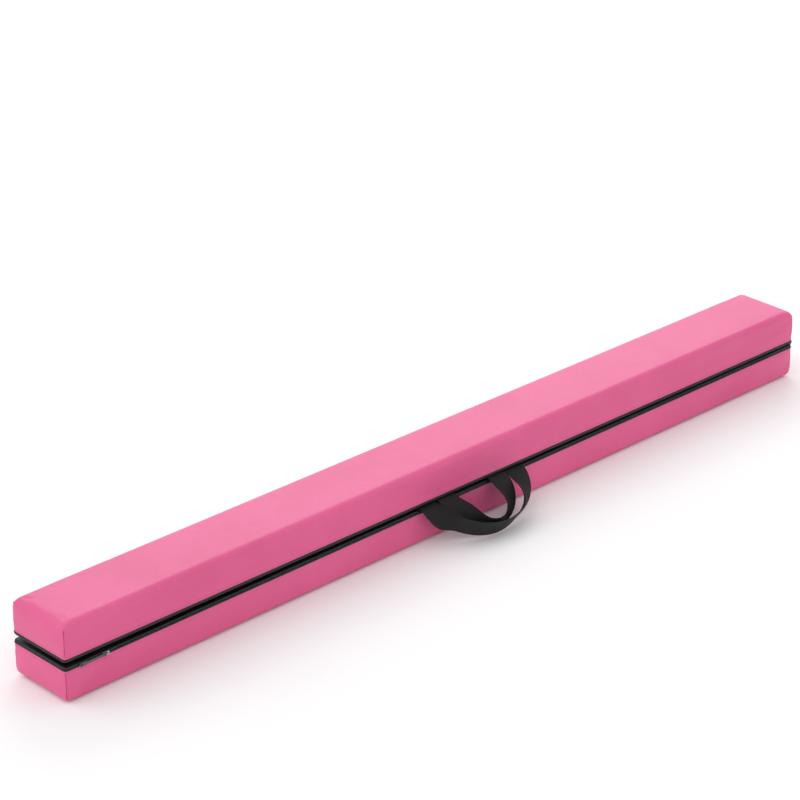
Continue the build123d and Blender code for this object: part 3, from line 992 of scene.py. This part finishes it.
def makeLoop(half):
    centre, width, face = loopPath(half)
    side = handleSide[half]
    section = flatSection(loop["width"], loop["thickness"])
    # a little life: the webbing never lies quite flat
    at = runLengths(centre)
    centre = centre + face * (0.0005 * np.sin(at * 61 + (0.4 if half == "lower" else 2.2)))[:, None] \
        * smoothStep((np.minimum(at, at[-1] - at) - 0.036) / 0.02)[:, None]
    strap = bandPiece(f"{half}_carrying_strap", toRow(half, centre), turnRow(half, width),
                      turnRow(half, face), section, strapWebbing)
    softEdges = strap.modifiers.new("Soft edges", "SUBSURF")
    softEdges.levels = softEdges.render_levels = 1
    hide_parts(f"{half}_handle", f"{half}_handle_tails")
    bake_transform(strap)

    # box and cross stitching on each sewn tail, with the doubled end under it
    rows, tucks = [], []
    inner = sideY + loop["out"] - 0.0009 - loop["tail"]
    for k, x in enumerate((loopLines[half][0][0] * mm, loopLines[half][-1][0] * mm)):
        a, b = inner + 0.003, inner + 0.003 + loop["sewn"] - 0.004
        xa, xb = x - 0.013, x + 0.013
        z = faceZ + loop["lift"] + loop["thickness"] / 2
        outline = [(xa, a), (xb, a), (xb, b), (xa, b), (xa, a)]
        crossing = [[(xa, a), (xb, b)], [(xa, b), (xb, a)]]
        for n, run in enumerate([outline] + crossing):
            path = np.array([(px, side * py, z) for px, py in run])
            ups = np.broadcast_to([0, 0, 1.0], path.shape)
            rows.append(stitchRow(f"{half}_row{k}{n}", toRow(half, path), turnRow(half, ups), 0.0028, 0.0021,
                                  0.0006, blackThread))
        under = np.linspace((x, side * (inner + 0.0003), faceZ + 0.0003),
                            (x, side * (inner + loop["sewn"]), faceZ + 0.0003), 12)
        tucks.append(bandPiece(f"{half}_tuck{k}", toRow(half, under),
                               facing(half, [1.0, 0, 0], under), facing(half, [0, 0, 1.0], under),
                               flatSection(loop["width"] - 0.0004, 0.0006), strapWebbing))
    sewing = joinPieces(rows, f"{half}_strap_stitches")
    doubled = joinPieces(tucks, f"{half}_strap_turnings")
    for piece in (sewing, doubled):
        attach(piece, f"{half}_half")


for half in ("lower", "upper"):
    makeLoop(half)
print("carrying loops made")


# webbing hinge

hingeStrip = {"width": 0.092, "webbing": 0.0006, "reach": 0.0047, "wrap": 75, "tight": 0.0014,
              "ease": 0.0003}


def makeLeaf(half):
    h = hingeStrip
    low, high = halfBox(half, f"{half}_hinge_leaf")
    x = np.linspace(low[0], high[0], 30)
    centre = np.stack([x, np.zeros(30), np.full(30, faceZ + h["webbing"] / 2)], -1)
    section = flatSection(h["width"], h["webbing"], 24)
    leaf = bandPiece(f"{half}_hinge_webbing", toRow(half, centre),
                     facing(half, [0, 1.0, 0], centre), facing(half, [0, 0, 1.0], centre), section,
                     hingeWebbing)
    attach(leaf, f"{half}_half")
    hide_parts(f"{half}_hinge_leaf")
    xa, xb, y = low[0] + 0.003, high[0] - 0.004, h["width"] / 2 - 0.003
    lift = [0, 0, faceZ + h["webbing"]]
    outline = np.array([(xa, -y, 0), (xb, -y, 0), (xb, y, 0), (xa, y, 0), (xa, -y, 0)]) + lift
    second = np.array([(xa + 0.004, -y + 0.003, 0), (xa + 0.004, y - 0.003, 0)]) + lift
    rows = [stitchRow(f"{half}_leafRow{n}", toRow(half, path),
                      facing(half, [0, 0, 1.0], path), 0.003, 0.0022, 0.0005,
                      whiteThread) for n, path in enumerate((outline, second))]
    sewing = joinPieces(rows, f"{half}_hinge_stitches")
    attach(sewing, f"{half}_half")


def arcRun(start, heading, radius, turn, step=0.0002):
    # an arc from a point in a heading, turning left by an angle: points and headings, then the last of each
    count = max(4, int(abs(radius * turn) / step))
    a = np.linspace(0, turn, count)
    sign = 1 if turn > 0 else -1
    side = heading + sign * math.pi / 2
    centre = np.array([start[0] + radius * math.cos(side), start[1] + radius * math.sin(side)])
    points = centre + radius * np.stack([np.cos(side + math.pi + a), np.sin(side + math.pi + a)], -1)
    return points, heading + a


def makeFold():
    # out of the lower leaf, round its rolled edge, bulging past the end faces and back to the upper leaf
    h = hingeStrip
    wrap, small = math.radians(h["wrap"]), h["tight"]
    rolledX = endX - base["rolled"]
    big = base["rolled"] + h["ease"] + h["webbing"] / 2
    smallX = rolledX + (big + small) * math.sin(wrap)
    smallZ = faceZ - base["rolled"] + (big + small) * math.cos(wrap)
    run, drop = endX + h["reach"] - smallX, hinge[2] - smallZ
    nose = (run ** 2 + drop ** 2 - small ** 2) / (2 * (run - small))
    noseTurn = math.atan2(drop, smallX - (endX + h["reach"] - nose))
    spot, heading = np.array([rolledX, faceZ - base["rolled"] + big]), 0.0
    points, headings = [], []
    for radius, turn in ((big, -wrap), (small, math.pi / 2 + wrap - noseTurn), (nose, 2 * noseTurn),
                         (small, math.pi / 2 + wrap - noseTurn), (big, -wrap)):
        p, a = arcRun(spot, heading, radius, turn)
        points.append(p[:-1])
        headings.append(a[:-1])
        spot, heading = p[-1], a[-1]
    points, headings = np.vstack(points + [spot[None]]), np.concatenate(headings + [[heading]])
    centre = np.stack([points[:, 0], np.zeros(len(points)), points[:, 1]], -1)
    face = np.stack([-np.sin(headings), np.zeros(len(points)), np.cos(headings)], -1)
    fold = bandPiece("hinge_fold_webbing", centre, np.broadcast_to([0, 1.0, 0], centre.shape), face,
                     flatSection(h["width"], h["webbing"], 30), hingeWebbing)
    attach(fold, "lower_half")
    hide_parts("hinge_fold")
    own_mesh(fold)


for half in ("lower", "upper"):
    makeLeaf(half)
makeFold()
print("hinge made")


# floor, light and camera

studio = {"turn": -43.8, "rise": 25.5, "distance": 4.272, "aim": (0.126, 0.208, 0.052), "lens": 136.8,
          "world": 0.90, "floor": (0.93, 0.93, 0.93), "sun": 0.65, "sunAngle": 60,
          "sunAim": (0.6, -0.3, -0.75), "panel": 55, "panelSize": 3.2, "panelPlace": (2.6, 3.0, 1.9)}

mat, tree, shader = newMaterial("paleFloor", studio["floor"], 0.9, specular=0.1)
place = objectPlace(tree)
tree.links.new(ramp(tree, noise(tree, place, 3, 3), [(0.3, (0.92, 0.92, 0.92)), (0.7, (0.94, 0.94, 0.94))]),
               shader.inputs["Base Color"])
side = np.linspace(-12, 12, 3)
gx, gy = np.meshgrid(side, side, indexing="ij")
floor = addPiece("floor", np.stack([gx, gy, np.full(gx.shape, cadBox[0][2] - 0.0002)], -1).reshape(-1, 3),
                 gridFaces(3, 3).tolist(), mat)

world = bpy.data.worlds.new("studio")
world.use_nodes = True
world.node_tree.nodes["Background"].inputs["Color"].default_value = (1, 1, 1, 1)
world.node_tree.nodes["Background"].inputs["Strength"].default_value = studio["world"]
bpy.context.scene.world = world


# a broad sun as the key, and a large square panel behind
sun = bpy.data.lights.new("key", "SUN")
sun.energy, sun.angle = studio["sun"], math.radians(studio["sunAngle"])
key = bpy.data.objects.new("key", sun)
key.rotation_euler = Vector(studio["sunAim"]).to_track_quat("-Z", "Y").to_euler()
link(key)
panel = bpy.data.lights.new("back", "AREA")
panel.shape, panel.size, panel.energy = "SQUARE", studio["panelSize"], studio["panel"]
back = bpy.data.objects.new("back", panel)
back.location = studio["panelPlace"]
back.rotation_euler = (Vector((0, 0, 0.05)) - back.location).to_track_quat("-Z", "Y").to_euler()
link(back)

turn, rise = math.radians(studio["turn"]), math.radians(studio["rise"])
aim = np.array(studio["aim"])
away = np.array([math.sin(turn) * math.cos(rise), -math.cos(turn) * math.cos(rise), math.sin(rise)])
lens = bpy.data.cameras.new("camera")
lens.lens, lens.sensor_width = studio["lens"], 36
lens.clip_start, lens.clip_end = 0.05, 60
camera = bpy.data.objects.new("camera", lens)
camera.location = Vector(aim + away * studio["distance"])
camera.rotation_euler = Vector(-away).to_track_quat("-Z", "Y").to_euler()
link(camera)
bpy.context.scene.camera = camera
bpy.context.scene.view_settings.view_transform = "Standard"

bpy.context.view_layer.update()
